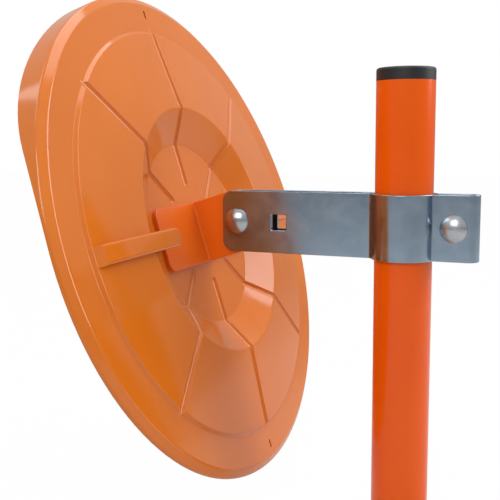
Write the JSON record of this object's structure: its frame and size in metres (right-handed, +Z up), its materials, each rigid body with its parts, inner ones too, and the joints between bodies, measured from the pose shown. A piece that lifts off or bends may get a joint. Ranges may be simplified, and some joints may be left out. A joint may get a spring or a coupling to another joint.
{
  "type": "traffic convex mirror",
  "caption": "Round convex traffic mirror with an orange back shell and built-in hood, on a two-strap steel arm clamped round a pole.",
  "frame": {"origin": "centre of the pole's foot", "axes": "+Z up along the pole, +X along the arm from the pole to the mirror, +Y to the arm's side that carries the bolt heads"},
  "size_m": [0.3335, 0.4498, 0.4726],
  "materials": {
    "pole_paint": "smooth semi-gloss orange powder coat",
    "cap_plastic": "fine satin black",
    "strap_zinc": "bright zinc plate, nearly polished",
    "bolt_zinc": "bright zinc plate",
    "bracket_paint": "gloss orange powder coat",
    "shell_plastic": "glossy moulded orange plastic",
    "mirror_face": "silvered acrylic",
    "gasket_rubber": "matt black rubber"
  },
  "bodies": {
    "pole": {"pole_tube": "pole_paint", "pole_cap": "cap_plastic"},
    "clamp_arm": {"front_strap": "strap_zinc", "rear_strap": "strap_zinc", "clamp_bolt": "bolt_zinc", "clamp_washer": "bolt_zinc", "clamp_spring_washer": "bolt_zinc", "clamp_nut": "bolt_zinc", "pivot_bolt": "bolt_zinc", "pivot_washer": "bolt_zinc", "pivot_spring_washer": "bolt_zinc", "pivot_nut": "bolt_zinc"},
    "mirror_head": {"near_bracket": "bracket_paint", "far_bracket": "bracket_paint", "bracket_spacer": "bolt_zinc", "back_shell": "shell_plastic", "mirror_pane": "mirror_face", "pane_gasket": "gasket_rubber", "backing_plate": "bolt_zinc", "foot_washers": "bolt_zinc", "foot_nuts": "bolt_zinc"}
  },
  "joints": [
    {"name": "pan", "type": "hinge", "parent": "pole", "child": "clamp_arm", "pos_m": [0, 0, 0.27], "axis": [0, 0, 1], "continuous": true},
    {"name": "tilt", "type": "hinge", "parent": "clamp_arm", "child": "mirror_head", "pos_m": [0.1504, 0, 0.27], "axis": [0, 1, 0], "range_deg": [-56, 21]}
  ]
}
